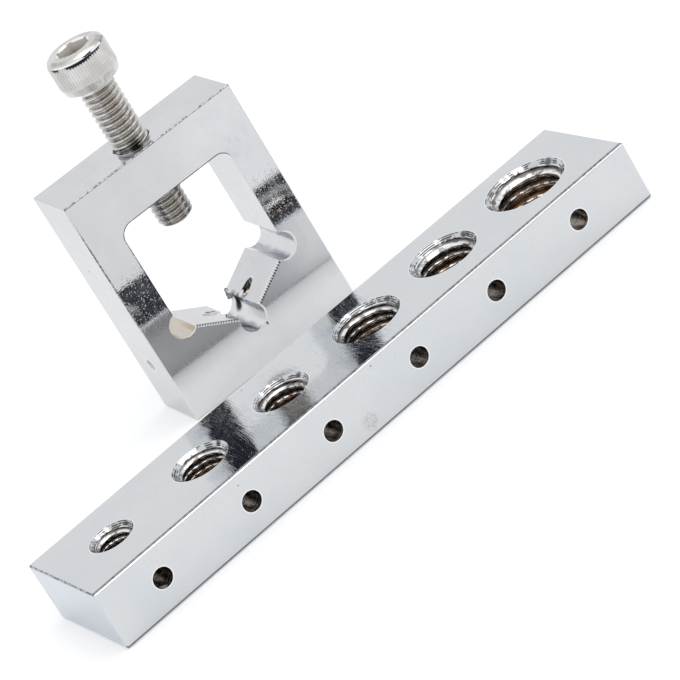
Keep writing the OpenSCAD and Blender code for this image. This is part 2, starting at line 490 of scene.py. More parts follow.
def add_spots(made, spots):
    """Stains on top of everything else: centre, radius, grain, cover, colour, strength."""
    for *where, tint, strength in spots:
        mask = made.w.effect("spot", made.place, *where)["Mask"]
        rough = made.w.add_share(made.rough, mask, 0.45 * strength)
        made.recolour(made.w.coat(made.colour, mask, strength, tint), rough)


def drilled(made, mask):
    """Darker, oily drilled steel on a plated piece, where the mask is 1."""
    w = made.w
    oily = w.ramp(w.noise(w.stretch(made.place, (1.0, 2.6, 1.0)), 0.8, 3.0, 0.6), 0.42, 0.56)
    colour = w.mix(mask, made.colour, w.mix(oily, STEEL_WARM, STEEL_DARK))
    made.recolour(colour, w.add_share(made.rough, mask, 0.16))


def bar_bores(made):
    """Drilled steel on the walls of the bar's guide holes, which lie between its bevelled faces, with
    painted light in rings on their lower walls and painted shade towards their tops.
    """
    w, place = made.w, made.place
    skin = MOUTH_BEVEL + 0.05
    half = ((BAR_RIGHT - BAR_LEFT) / 2 - skin, (BAR_BACK - BAR_FRONT) / 2, (BAR_TOP - BAR_FOOT) / 2 - skin)
    inside = w.effect("inside", place, BAR_MIDDLE, half)["Mask"]
    drilled(made, inside)
    upward, axis_z = w.part(place, 2), BAR_MIDDLE[2]
    rings = w.ramp(w.noise(w.stretch(place, (0.3, 4.5, 0.3)), 1.0, 1.0), 0.40, 0.65, 0.0, 0.60)
    # Painted light: pale rings on the lower walls
    lit = w.times(w.times(inside, w.ramp(upward, axis_z + 0.1, axis_z - 1.3)), rings)
    # Painted shade: the walls darken towards the top
    dim = w.times(inside, w.ramp(upward, axis_z - 1.2, axis_z + 0.6, 0.35, 0.85))
    made.recolour(w.mix(lit, w.mix(dim, made.colour, SHADE_AND_MARK_BLACK), BORE_PAINTED_LIGHT))
    w.shade(made.shader, metallic=w.ramp(lit, 0.0, 1.0, 1.0, 0.2))


def bar_tone(w, place, colour):
    """The bar's back, painted darker over its small-end half as painted shade and lighter towards its large
    end as painted light, its pale front edge, and its small end tinted blue as a painted reflection.
    """
    along, depth, height = (w.part(place, axis) for axis in range(3))
    back = w.ramp(depth, BAR_BACK - 0.08, BAR_BACK - 0.03)
    # The back is seen only in the block's mirror: painted shade towards the small end, painted light towards
    # the large end
    colour = w.coat(colour, back, w.ramp(along, 0.0, 26.0, 0.85, 0.0), BACK_PAINTED_SHADE)
    colour = w.coat(colour, back, w.ramp(along, 14.0, 26.0), PLATE_WORN_AND_PAINTED_LIGHT)
    bevel_y = w.ramp(depth, BAR_FRONT + 0.42, BAR_FRONT + 0.35)
    bevel_z = w.ramp(height, BAR_TOP - 0.42, BAR_TOP - 0.35)
    plain = w.maths("MAXIMUM", w.ramp(along, -25.0, 20.0), w.ramp(height, BAR_TOP - 0.24, BAR_TOP - 0.14))
    colour = w.coat(colour, w.times(bevel_y, bevel_z), plain, EDGE_PALE)
    # Painted reflection: the small end is tinted blue
    return w.mix(w.ramp(along, BAR_LEFT + 0.25, BAR_LEFT + 0.10, 0.0, 0.55), colour, PAINTED_BLUE_REFLECTION)


def bar_edge_zone(w, place):
    """Worn edges everywhere but at the bar's back."""
    return w.ramp(w.part(place, 1), BAR_BACK - 1.0, BAR_BACK - 1.5)


def bar_line_zone(w, place):
    """Grinding lines are faint on the bar's front."""
    return w.ramp(w.part(place, 1), BAR_FRONT + 0.02, BAR_FRONT + 0.10, 0.15)


def block_line_zone(w, place):
    """Grinding lines are nearly even all over the block."""
    return w.ramp(w.part(place, 2), 0.0, BLOCK_HEIGHT, 0.9)


def block_tone(w, place, colour):
    """The block's front: dimmer at its upper left, lighter along its foot as a painted reflection of the
    floor, mottled all over.
    """
    along, depth, height = (w.part(place, axis) for axis in range(3))
    front = w.ramp(depth, 0.30, 0.05)
    colour = w.mix(w.ramp(w.noise(place, 0.45, 4.0, 0.7), 0.45, 0.70, 0.0, 0.45), colour, BLOCK_DIM)
    dim = w.times(w.times(w.ramp(along, 26.0, 14.0), w.ramp(height, 20.0, 27.0)), front)
    colour = w.coat(colour, dim, w.ramp(w.noise(place, 0.13, 4.0, 0.65), 0.3, 0.6, 0.6), BLOCK_DIM)
    # Painted reflection: the front is lightened along its foot
    return w.coat(colour, w.times(w.ramp(height, 9.5, 6.5), front), 0.25, PLATE_WORN_AND_PAINTED_LIGHT)


def block_edge_zone(w, place):
    """Dark edges on the front at the left and over the window only."""
    along, depth, height = (w.part(place, axis) for axis in range(3))
    left = w.times(w.ramp(along, SCREW_X - 2.0, SCREW_X - 6.0), w.ramp(height, 13.0, 17.0))
    upper = w.ramp(height, WINDOW_TOP - 1.5, WINDOW_TOP - 0.5)
    return w.times(w.maths("MAXIMUM", left, upper), w.ramp(depth, 0.6, 0.3))


def window_edge(made):
    """The thin dark broken line along the window's left and upper edges on the front."""
    w, place = made.w, made.place
    half, height, corner = WINDOW_W / 2, 12.0, WINDOW_CORNER_R
    arm = w.vector("SUBTRACT", place, (SCREW_X, 0.0, WINDOW_TOP - height))
    span = w.vector("SUBTRACT", w.vector("ABSOLUTE", arm), (half - corner, 0.0, height - corner))
    span = w.stretch(w.vector("MAXIMUM", span, (0.0, 0.0, 0.0)), FRONT_VIEW)
    off = w.maths("SUBTRACT", w.length(span), corner)
    line = w.times(w.band(off, 0.04, 0.16), block_edge_zone(w, place))
    line = w.times(line, w.ramp(w.noise(place, 0.7, 3.0, 0.7), 0.36, 0.5, 0.45))
    line = w.times(line, w.ramp(w.part(place, 2), 15.5, 17.0))
    made.recolour(w.mix(line, made.colour, PIT_DARK))


def block_bore(made):
    """Drilled steel on the wall of the block's guide hole from the V's right face inwards, and near-white
    painted light on the rest of that wall and in rings farther in; the wall is found by its distance from
    that hole's axis.
    """
    w, place = made.w, made.place
    reach = w.length(w.arm(place, (0.0, BLOCK_DEPTH / 2, BLOCK_GUIDE_Z), SIDE_VIEW))
    mask = w.ramp(reach, BLOCK_GUIDE_R + 0.06, BLOCK_GUIDE_R + 0.02)
    along = w.part(place, 0)
    oily_side = w.ramp(along, SCREW_X + 2.3, SCREW_X + 3.0)
    drilled(made, w.times(mask, oily_side))
    rings = w.ramp(w.maths("SINE", w.times(along, 11.0)), -0.6, 0.6, 0.25, 0.9)
    rings = w.times(rings, w.ramp(along, 20.0, 20.8))
    # Painted light: the wall is mixed to near white
    pale = w.times(mask, w.maths("MAXIMUM", w.maths("SUBTRACT", 1.0, oily_side), rings))
    made.recolour(w.mix(pale, made.colour, PAINTED_HIGHLIGHT_WHITE))
    w.shade(made.shader, metallic=w.ramp(pale, 0.0, 1.0, 1.0, 0.1))


def block_notches(made):
    """The milled walls of the V seat's relief notches: satin, streaked, with painted shade beside their
    light middles, and beige in the left one.
    """
    w = made.w
    notches = (
        ((SCREW_X, 0.0, VEE_Z), PLATE_WORN_AND_PAINTED_LIGHT, 0.4, 0.95),
        ((SCREW_X + RELIEF_DX, 0.0, RELIEF_Z), PLATE_WORN_AND_PAINTED_LIGHT, 0.3, 0.85),
        ((SCREW_X - RELIEF_DX, 0.0, RELIEF_Z), NOTCH_BEIGE, 0.9, 0.15),
    )
    for centre, tint, strength, shade in notches:
        wall = w.effect("wall", made.place, centre)
        colour = w.coat(made.colour, wall["Mask"], strength, tint)
        dim = w.maths("MULTIPLY_ADD", wall["Streak"], -0.35, 1.0)
        # Painted shade on both sides of the wall's light middle
        colour = w.coat(colour, dim, w.times(wall["Shade"], shade), NOTCH_SHADE)
        made.recolour(colour, w.add_share(made.rough, wall["Mask"], 0.17))


def bar_material():
    """The bar's plating with the marks round its holes and along its front edge."""
    _, middle_y, middle_z = BAR_MIDDLE
    mouths = []
    spots = [
        ((-4.2, BAR_FRONT, 2.3), 1.8, 4.2, 0.0, OIL_BROWN, 0.65),
        # Painted highlight: a white crescent low in the first guide hole
        ((BAR_LEFT + 9.35, BAR_FRONT + 0.80, middle_z - 1.52), 0.85, 1.0, 1.0, PAINTED_HIGHLIGHT_WHITE, 1.0),
        # Painted reflections: blue patches on the bar's top
        ((2.8, -11.0, BAR_TOP), 2.6, 0.5, 0.9, PAINTED_BLUE_REFLECTION, 0.45),
        ((-21.4, -9.5, BAR_TOP), 2.4, 0.5, 0.9, PAINTED_BLUE_REFLECTION, 0.5),
        ((-27.0, -23.1, BAR_TOP), 2.2, 0.5, 0.9, PAINTED_BLUE_REFLECTION, 0.5),
    ]
    patch_turn = math.radians(15.0)
    for diameter, along, _, _ in TAPPED_HOLES:
        x = BAR_LEFT + along
        mouths.append(((x, middle_y, BAR_TOP), LEVEL, diameter / 2 + MOUTH_BEVEL, 0.5, 1.0))
        mouths.append(((x, BAR_FRONT, middle_z), FRONT_VIEW, BAR_GUIDE_D / 2, 0.8, 0.0))
        # A black patch of painted shade at the right of each hole's mouth
        reach = diameter / 2 + 0.2
        patch = (x + reach * math.cos(patch_turn), middle_y + reach * math.sin(patch_turn), BAR_TOP - 0.3)
        spots.append((patch, 0.42 + 0.04 * diameter, 1.3, 0.75, SHADE_AND_MARK_BLACK, 0.95))
    lines = (
        ((0.0, BAR_FRONT + 0.31, BAR_TOP - 0.04), SIDE_VIEW, 0.27, 0.50, SHADE_AND_MARK_BLACK, 0.74, 0.95),
        ((0.0, BAR_FRONT + 0.20, 0.14), SIDE_VIEW, 0.42, 0.62, FOOT_SHADE, 0.9, 0.3),
        ((BAR_LEFT + 0.15, 0.0, BAR_TOP - 0.12), FRONT_VIEW, 0.21, 0.46, EDGE_GREY, 0.5, 0.75),
    )
    finish = dict(
        find_place=place_in_mm, light=PLATE_LIGHT, cool=PLATE_COOL, tone=bar_tone,
        stretch=(6.2, 0.16, 0.25), line_height=0.0042, line_zone=bar_line_zone,
        speckle_height=0.0008, wave_height=0.022, scatter=0.20, lean=0.0,
        frost=0.06, frost_band=(10.0, 5.0), pits=0.10,
        mark_radius=0.18, edge_colour=PLATE_WORN_AND_PAINTED_LIGHT, edge_strength=0.5, edge_zone=bar_edge_zone,
    )
    made = plated_steel("plated_bar_bright", finish, mouths, lines)
    bar_bores(made)
    add_spots(made, spots)
    return made.material


def block_material():
    """The block's plating with the marks round its window, seat and edges."""
    finish = dict(
        find_place=place_on_block, light=BLOCK_LIGHT, cool=BLOCK_COOL, tone=block_tone,
        stretch=(3.4, 0.9, 0.22), line_height=0.0016, line_zone=block_line_zone,
        speckle_height=0.0030, wave_height=0.010, scatter=0.05, lean=-math.tan(BLOCK_LEAN),
        frost=0.50, frost_band=(21.2, 7.0), pits=0.035,
        mark_radius=0.22, edge_colour=PIT_DARK, edge_strength=0.75, edge_zone=block_edge_zone,
    )
    spots = (
        ((18.15, 9.2, 8.1), 1.5, 1.2, 0.97, SHADE_AND_MARK_BLACK, 1.0),
        ((17.95, 9.3, 6.9), 1.5, 1.2, 0.97, SHADE_AND_MARK_BLACK, 1.0),
        ((18.1, 7.6, 8.4), 1.1, 1.2, 0.95, SHADE_AND_MARK_BLACK, 0.97),
        ((12.5, 7.5, 9.82), 0.60, 1.5, 1.0, SHADE_AND_MARK_BLACK, 1.0),
        ((13.3, 7.6, 9.36), 0.60, 1.5, 0.9, SHADE_AND_MARK_BLACK, 0.95),
        # Painted shade at the left lip of the apex notch
        ((13.8, 2.2, 9.1), 1.0, 0.8, 1.0, SHADE_AND_MARK_BLACK, 0.75),
        ((27.0, 0.0, 32.2), 2.6, 0.5, 0.2, NOTCH_SHADE, 0.30),
    )
    mouths = (
        ((20.3, 5.6, 10.3), (1.0, 1.0, 1.0), 0.75, 0.6, 0.7),
        ((0.0, BLOCK_DEPTH / 2, BLOCK_GUIDE_Z), SIDE_VIEW, BLOCK_GUIDE_R, 0.9, 0.7),
    )
    lines = (
        ((0.0, 0.06, BLOCK_HEIGHT - 0.06), SIDE_VIEW, 0.24, 0.47, EDGE_GREY, 0.95, 0.8),
        ((0.07, 0.07, 27.0), (1.0, 1.0, 0.017), 0.22, 0.44, EDGE_GREY, 0.75, 0.85),
    )
    made = plated_steel("plated_block_bright", finish, mouths, lines)
    window_edge(made)
    block_notches(made)
    block_bore(made)
    add_spots(made, spots)
    return made.material


def groove_depth(w):
    """What the mesh's valley attribute says: 0 on a crest, 1 at the root of a groove."""
    return w.put("ShaderNodeAttribute", attribute_name="valley").outputs["Fac"]


def tapped_steel(name, warm):
    """Cut thread: bright crests over dark roots, browner and darker lower down as painted shade; warm is how
    brown.
    """
    material, w, shader = new_material(name)
    place, valley = place_in_mm(w), groove_depth(w)
    stain = w.ramp(w.noise(place, 0.45, 3.0, 0.6), 0.38, 0.60)
    # Painted shade: deeper in the hole the thread turns browner and darker
    deep = w.ramp(w.part(place, 2), 8.2 + 0.8 * warm, 5.6)
    oily = w.mix(stain, OIL_BROWN, w.mix(warm, STEEL_DARK, RUST_TAN))
    brown = w.maths("MULTIPLY_ADD", stain, 0.4, 0.25 + 0.35 * warm)
    crest = w.coat(PLATE_WORN_AND_PAINTED_LIGHT, deep, brown, RUST_TAN)
    grime = w.noise(w.stretch(place, (1.0, 1.0, 2.2)), 0.55, 3.0, 0.6)
    crest = w.mix(w.ramp(grime, 0.47, 0.60, 0.0, 0.85), crest, STEEL_DARK)
    colour = w.mix(w.ramp(valley, 0.30, 0.85), crest, w.mix(deep, STEEL_DARK, oily))
    grit = w.times(w.noise(place, 3.5, 3.0, 0.7), 0.03)
    w.shade(shader, colour, w.ramp(valley, 0.0, 1.0, 0.12, 0.30), bump_normal(w, grit), 1.0)
    return material


# What the valley attribute says on the screw, besides 0 for smooth steel and 1 for the root of a groove
# Painted dark reflection: black under the knurled rim
PAINTED_DARK_REFLECTION = 2.0
# Painted highlight: white on the rim's camera-facing side and round the socket
PAINTED_HIGHLIGHT = -1.0
SOCKET_WALL = -2.0
# Where the screw's thread gets a black patch of painted shade, just above the block: centre, radius, grain,
# cover
THREAD_SHADE_PATCH = ((3.2, 17.0, 40.7), 1.35, 0.9, 0.8)


def screw_steel(name):
    """Satin rolled stainless steel with dirt in its grooves, a painted dark reflection down the side facing
    the camera and under the head's rim, painted highlights on the rim and round the socket, painted shade
    down the socket, and a black patch of painted shade just above the block.
    """
    material, w, shader = new_material(name)
    place, valley = place_in_mm(w), groove_depth(w)
    upward = w.part(place, 2)
    colour = w.mix(w.ramp(w.noise(place, 0.4, 3.0), 0.35, 0.65), SCREW_LIGHT, SCREW_GREY)
    smear = w.noise(w.stretch(place, (1.0, 1.0, 0.4)), 0.9, 3.0, 0.6)
    # Painted reflection: a brown band down the side that faces the camera
    facing = w.dot(w.vector("NORMALIZE", w.arm(place, SCREW_MIDDLE, LEVEL)), direction(-12.0, 0.0))
    front = w.times(w.ramp(w.add_share(facing, smear, 0.12), 0.90, 1.02), w.ramp(valley, -0.6, -0.1))
    colour = w.coat(colour, front, w.ramp(upward, HEAD_FOOT - 0.3, HEAD_FOOT, 0.8, 0.25), SCREW_DARK_REFLECTION)
    dirt = w.times(w.ramp(smear, 0.3, 0.7, 0.45), w.ramp(valley, 0.30, 0.9))
    colour = w.coat(colour, dirt, w.ramp(facing, 0.55, 0.95, 0.95, 0.45), SCREW_DIRT)
    # Painted dark reflection: black where the valley attribute says so
    colour = w.mix(w.ramp(valley, 1.1, 1.5), colour, SHADE_AND_MARK_BLACK)
    # Painted highlight: near white where the valley attribute says so
    colour = w.mix(w.ramp(valley, -0.3, -0.9), colour, PAINTED_HIGHLIGHT_WHITE)
    socket = w.ramp(valley, -1.4, -1.8)
    wall = w.mix(w.ramp(upward, SCREW_TOP - 0.5, SCREW_TOP - 2.6), SOCKET_BEIGE, SOCKET_SHADE)
    colour = w.mix(socket, colour, wall)
    # Painted shade: a black patch on the thread just above the block
    colour = w.coat(colour, w.effect("spot", place, *THREAD_SHADE_PATCH)["Mask"], 0.95, SHADE_AND_MARK_BLACK)
    rough = w.ramp(w.noise(place, 1.2, 3.0), 0.3, 0.7, 0.09, 0.17)
    rough = w.add_share(rough, socket, 0.35)
    rough = w.add_share(rough, w.ramp(valley, 0.05, 0.20), 0.15)
    grit = w.times(w.noise(place, 2.4, 2.0, 0.6), 0.012)
    normal = bump_normal(w, grit, w.effect("edge", place, 0.10 * MM)["Normal"])
    w.shade(shader, colour, rough, normal, w.ramp(socket, 0.0, 1.0, 1.0, 0.1))
    return material


def clouded(name, tone, other_tone, roughest, metallic):
    """The plain finish of small marks: black painted shade in gaps, nicks and the screw's hole, and white
    painted highlights on burred lips of steel.
    """
    material, w, shader = new_material(name)
    place = place_in_mm(w)
    cloud = w.ramp(w.noise(place, 1.5, 3.0), 0.35, 0.65)
    rough = w.ramp(w.noise(place, 2.5), 0.3, 0.7, 0.25, roughest)
    w.shade(shader, w.mix(cloud, tone, other_tone), rough, metallic=metallic)
    return material


# Meshes

def smoothstep(value, low, high):
    """0 below low, 1 above high, and a smooth rise between."""
    t = min(max((value - low) / (high - low), 0.0), 1.0)
    return t * t * (3.0 - 2.0 * t)


def new_skin():
    """An empty mesh whose points can say how deep in a groove they lie."""
    bm = bmesh.new()
    bm.verts.layers.float.new("valley")
    return bm


def spread(value, count):
    """A list as it is, or one value for every point of a ring."""
    return value if isinstance(value, (list, tuple)) else [value] * count


def ring(bm, centre, count, z, radii, valleys, turn=0.0):
    """One ring of points about an upright axis, with how deep in a groove each lies."""
    layer = bm.verts.layers.float["valley"]
    points = []
    for k, (radius, valley) in enumerate(zip(spread(radii, count), spread(valleys, count))):
        angle = turn + 2.0 * math.pi * k / count
        x, y = centre[0] + radius * math.cos(angle), centre[1] + radius * math.sin(angle)
        point = bm.verts.new((x * MM, y * MM, z * MM))
        point[layer] = valley
        points.append(point)
    return points


def join_rings(bm, rings, closed):
    """Quads between each ring and the next, and back to the first if closed."""
    pairs = list(zip(rings, rings[1:]))
    if closed:
        pairs.append((rings[-1], rings[0]))
    for lower, upper in pairs:
        for k in range(len(lower)):
            after = (k + 1) % len(lower)
            bm.faces.new((lower[k], lower[after], upper[after], upper[k]))


def shade_smooth(mesh, sharp_angle):
    """Smooth shading that keeps edges sharper than an angle in degrees."""
    mesh.polygons.foreach_set("use_smooth", [True] * len(mesh.polygons))
    mesh.set_sharp_from_angle(angle=math.radians(sharp_angle))
    mesh.update()


def finish_mesh(name, bm, sharp_angle):
    """An object from a bmesh, smooth but for edges sharper than an angle in degrees."""
    bmesh.ops.recalc_face_normals(bm, faces=bm.faces)
    mesh = bpy.data.meshes.new(name)
    bm.to_mesh(mesh)
    bm.free()
    shade_smooth(mesh, sharp_angle)
    thing = bpy.data.objects.new(name, mesh)
    bpy.context.scene.collection.objects.link(thing)
    return thing


def cut_with(thing, cutter):
    """thing with cutter taken away, for good."""
    cut = thing.modifiers.new("guide hole", "BOOLEAN")
    cut.operation = "DIFFERENCE"
    cut.solver = "EXACT"
    cut.object = cutter
    bpy.context.view_layer.update()
    ready = thing.evaluated_get(bpy.context.evaluated_depsgraph_get())
    mesh = bpy.data.meshes.new_from_object(ready)
    thing.modifiers.clear()
    spent = (thing.data, cutter.data)
    thing.data = mesh
    bpy.data.objects.remove(cutter)
    for old in spent:
        bpy.data.meshes.remove(old)


def drill_tool(place, diameter, length):
    """A rod along +Y from a point, for cutting."""
    bm = bmesh.new()
    radius = diameter / 2 * MM
    bmesh.ops.create_cone(bm, cap_ends=True, segments=64, radius1=radius, radius2=radius, depth=length * MM)
    middle = Vector((place[0], place[1] + length / 2, place[2])) * MM
    bm.transform(Matrix.Translation(middle) @ Matrix.Rotation(math.pi / 2, 4, "X"))
    return finish_mesh("drill_tool", bm, 30)


THREAD_TURN_POINTS = 120
THREAD_ROWS_PER_PITCH = 16
# Shares of one pitch that the thread's root and each flank take up
ROOT_SHARE = 0.125
FLANK_SHARE = 0.3125


def thread_height(phase):
    """Height of a tapped thread over its root, 0 to 1, at a phase along one pitch."""
    phase = phase % 1.0
    rising = (phase - ROOT_SHARE) / FLANK_SHARE
    falling = (1.0 - phase) / FLANK_SHARE
    return max(0.0, min(1.0, rising, falling))


def tapped_thread(number, diameter, centre, pitch):
    """The thread in one hole of the bar: a sleeve just inside the hole's wall, cut by the mouth bevels."""
    major = diameter / 2 * 0.998 - 0.005
    depth = 0.54 * pitch
    top, bottom = BAR_TOP - MOUTH_BEVEL, BAR_FOOT + MOUTH_BEVEL
    rows = round((top - bottom) / pitch * THREAD_ROWS_PER_PITCH)
    bm = new_skin()
    rings = []
    for row in range(rows + 1):
        z = top + (bottom - top) * row / rows
        cone = diameter / 2 - min(top - z, z - bottom)
        radii = []
        for k in range(THREAD_TURN_POINTS):
            rise = thread_height(z / pitch - k / THREAD_TURN_POINTS)
            radii.append(min(max(major - depth * rise, cone), major))
        fade = smoothstep(top - z, 0.0, 0.15 * pitch)
        valleys = [(1.0 - (major - radius) / depth) * fade for radius in radii]
        rings.append(ring(bm, centre, THREAD_TURN_POINTS, z, radii, valleys))
    for z in (bottom, top):
        rings.append(ring(bm, centre, THREAD_TURN_POINTS, z, diameter / 2 + 0.05, 1.0))
    join_rings(bm, rings, True)
    return finish_mesh(f"bar_thread_{number}", bm, 28)


def make_threads():
    """The six threads of the bar, each opened to its guide hole."""
    _, middle_y, middle_z = BAR_MIDDLE
    for number, (diameter, along, pitch, warm) in enumerate(TAPPED_HOLES, 1):
        centre = (BAR_LEFT + along, middle_y)
        thread = tapped_thread(number, diameter, centre, pitch)
        start = BAR_FRONT - 1.0
        cut_with(thread, drill_tool((centre[0], start, middle_z), BAR_GUIDE_D, middle_y - start))
        shade_smooth(thread.data, 28)
        thread.data.materials.append(tapped_steel(f"tapped_steel_{number}", warm))
        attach(thread, "bar")


HEAD_POINTS = 396
RIM_HIGHLIGHT_FROM = 5.20
SATIN_BELOW = 1.40
SHANK_POINTS = 99
SHANK_ROWS_PER_PITCH = 14
# Heights of the head's rings over its underside
HEAD_RINGS = (
    0.0, 0.4, 0.8, 1.0, 1.15, FOOT_H, 1.45, 1.7, 3.0, 4.5, 4.7, 4.78, 4.86, 4.94, 5.02, 5.10,
    5.17, 5.25, 5.38, 5.48, 5.58, 5.68, 5.78, 5.86, 5.94, 5.97, HEAD_H,
)
# The head's rounded shoulder and bevelled rim: depth below its top, radius
RIM_PROFILE = (
    (0.0, 4.00), (0.06, 4.12), (0.22, 4.40), (0.42, 4.62), (0.62, 4.74), (0.85, 4.83), (1.1, HEAD_R),
)


def rim_radius(z):
    """Radius of the head's shoulder and rim at a height over its underside."""
    below = HEAD_H - z
    for (low, r_low), (high, r_high) in zip(RIM_PROFILE, RIM_PROFILE[1:]):
        if below <= high:
            return r_low + (r_high - r_low) * (below - low) / (high - low)
    return HEAD_R


def off_front(k):
    """Degrees from the side of the head that the photograph shows to its point k."""
    round_head = math.degrees(SOCKET_TURN) + 360.0 * k / HEAD_POINTS
    return (round_head - (CAMERA_AZIMUTH - 90.0) + 180.0) % 360.0 - 180.0


def dark_reflection_front(k):
    """How much of the knurl's upper end is painted black as a reflection of the dark gap, at a point round
    the head: in front and a little at its left.
    """
    off = off_front(k)
    wide = 1.0 - smoothstep(abs(off - 8.0), 30.0, 46.0)
    return max(wide, 1.0 - smoothstep(abs(off + 55.0), 6.0, 12.0))


def head_radius(z, k):
    """Radius of the knurled head at a height over its underside, and its valley value there."""
    phase = (k * HEAD_TEETH / HEAD_POINTS) % 1.0
    groove = 1.0 - (0.5 + 0.5 * math.cos(2.0 * math.pi * phase)) ** 0.7
    groove *= smoothstep(z, 0.8, 1.7)
    radius = min(HEAD_R - HEAD_TOOTH * groove, rim_radius(z))
    off = off_front(k)
    if z > RIM_HIGHLIGHT_FROM:
        # Painted highlight on the side of the rim that faces the camera
        front = 1.0 - smoothstep(abs(off - 5.0), 50.0, 85.0)
        brown = smoothstep(off, 52.0, 60.0) * (1.0 - smoothstep(off, 78.0, 88.0))
        if brown > 0.5 and z < 5.65:
            return radius, 0.75
        if z > 5.60 and front > 0.2:
            return radius, 0.60
        return radius, PAINTED_HIGHLIGHT * front * (1.0 - smoothstep(z, 5.42, 5.56))
    radius = min(radius, HEAD_R - FOOT_W + FOOT_W * z / FOOT_H)
    # The painted black reflection reaches farthest down the knurl in front, left of the middle
    black = 1.0 - smoothstep(abs(off + 4.0), 10.0, 30.0)
    dark_reflection = dark_reflection_front(k) * smoothstep(z, 4.62 - 0.15 * black, 4.84 - 0.15 * black)
    if dark_reflection * (0.35 + groove + smoothstep(z, 4.95 - 0.25 * black, 5.10 - 0.25 * black)) > 0.60:
        return radius, PAINTED_DARK_REFLECTION
    return radius, 0.25 if z < SATIN_BELOW else 0.62 * groove


def socket_radius(k):
    """Distance from the axis to the hexagon socket's wall, with a corner on the first point."""
    part = 2.0 * math.pi * k / HEAD_POINTS % (math.pi / 3.0) - math.pi / 6.0
    return SOCKET_AF / 2.0 / math.cos(part)


def screw_head(bm):
    """The head from its underside to the floor of its socket; returns its first ring."""
    points = range(HEAD_POINTS)
    rows = [(z, *zip(*(head_radius(z, k) for k in points))) for z in HEAD_RINGS]
    socket = [socket_radius(k) for k in points]
    countersink = [max(SOCKET_AF / 2.0 + 0.28, radius + 0.06) for radius in socket]
    floor = HEAD_H - SOCKET_DEPTH
    rows += [
        (HEAD_H, HEAD_R - RIM_W - 0.12, 0.0),
        (HEAD_H, [radius + 0.05 for radius in countersink], 0.0),
        # Painted highlight round the socket's countersink
        (HEAD_H, countersink, PAINTED_HIGHLIGHT),
        (HEAD_H - 0.26, socket, PAINTED_HIGHLIGHT),
        (HEAD_H - 0.32, socket, SOCKET_WALL),
        (floor, socket, SOCKET_WALL),
        (floor, SOCKET_AF / 2.0 * 0.96, SOCKET_WALL),
        (floor - 1.25, 0.2, SOCKET_WALL),
    ]
    rings = [
        ring(bm, SCREW_MIDDLE, HEAD_POINTS, HEAD_FOOT + z, radii, valleys, SOCKET_TURN)
        for z, radii, valleys in rows
    ]
    join_rings(bm, rings, False)
    bm.faces.new(rings[-1])
    return rings[0]


def screw_shank(bm):
    """The shank from under the head to the tip; returns its first ring."""
    rings = []
    reach = HEAD_FOOT - SCREW_TIP
    rows = round(reach / SCREW_PITCH * SHANK_ROWS_PER_PITCH)
    depth = SCREW_CREST_R - SCREW_ROOT_R
    for row in range(rows + 1):
        below = reach * row / rows
        z = HEAD_FOOT - below
        full = smoothstep(below, SCREW_PLAIN - 0.1, SCREW_PLAIN + 0.5)
        fillet = 0.10 * (1.0 - smoothstep(below, 0.0, 0.25))
        chamfer = SCREW_CREST_R - TIP_BEVEL + z - SCREW_TIP
        radii = []
        valleys = []
        for k in range(SHANK_POINTS):
            angle = SOCKET_TURN + 2.0 * math.pi * k / SHANK_POINTS
            phase = z / SCREW_PITCH - angle / (2.0 * math.pi)
            rise = smoothstep(0.5 - 0.5 * math.cos(2.0 * math.pi * phase), 0.0, 1.0) ** 1.3
            radii.append(min(SCREW_CREST_R - depth * (1.0 - rise) * full + fillet, chamfer))
            valleys.append((1.0 - rise) * full)
        rings.append(ring(bm, SCREW_MIDDLE, SHANK_POINTS, z, radii, valleys, SOCKET_TURN))
    join_rings(bm, rings, False)
    bm.faces.new(rings[-1])
    return rings[0]


def make_screw():
    """The whole clamp screw as one closed mesh."""
    bm = new_skin()
    outer, inner = screw_head(bm), screw_shank(bm)
    step = HEAD_POINTS // SHANK_POINTS
    for k in range(SHANK_POINTS):
        far = [outer[(step * (k + 1) - i) % HEAD_POINTS] for i in range(step + 1)]
        bm.faces.new([inner[k], inner[(k + 1) % SHANK_POINTS]] + far)
    screw = finish_mesh("knurled_socket_screw", bm, 30)
    screw.data.materials.append(screw_steel("screw_steel_satin"))
    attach(screw, "screw")
    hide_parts("clamp_screw")


# Small marks of the clamp block

def on_block(x, y, z):
    """A point of the clamp block's own millimetres, in the row frame's."""
    c, s = math.cos(BLOCK_TURN), math.sin(BLOCK_TURN)
    return (BLOCK_CORNER[0] + x * c - y * s, BLOCK_CORNER[1] + x * s + y * c, z)


def block_point(bm, x, y, z):
    """A new point of a mesh, given in the clamp block's own millimetres."""
    return bm.verts.new(Vector(on_block(x, y, z)) * MM)


def prism(bm, outline, front, back):
    """A small prism on the clamp block: an outline of its front view, between two depths."""
    near = [block_point(bm, x, front, z) for x, z in outline]
    far = [block_point(bm, x, back, z) for x, z in outline]
    bm.faces.new(near)
    bm.faces.new(list(reversed(far)))
    for i in range(len(outline)):
        j = (i + 1) % len(outline)
        bm.faces.new((near[i], far[i], far[j], near[j]))


def ride_block(name, bm, material):
    """Finishes a small piece of the clamp block."""
    piece = finish_mesh(name, bm, 20)
    piece.data.materials.append(material)
    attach(piece, "block")


def seat_point(side, along, off):
    """A point of the front view: a distance along one side of the V seat, and off its face."""
    c, s = math.cos(VEE_SLOPE), math.sin(VEE_SLOPE)
    return SCREW_X + side * (along * c - off * s), VEE_Z + along * s + off * c


SEAT_MARK_PITCH = 0.44


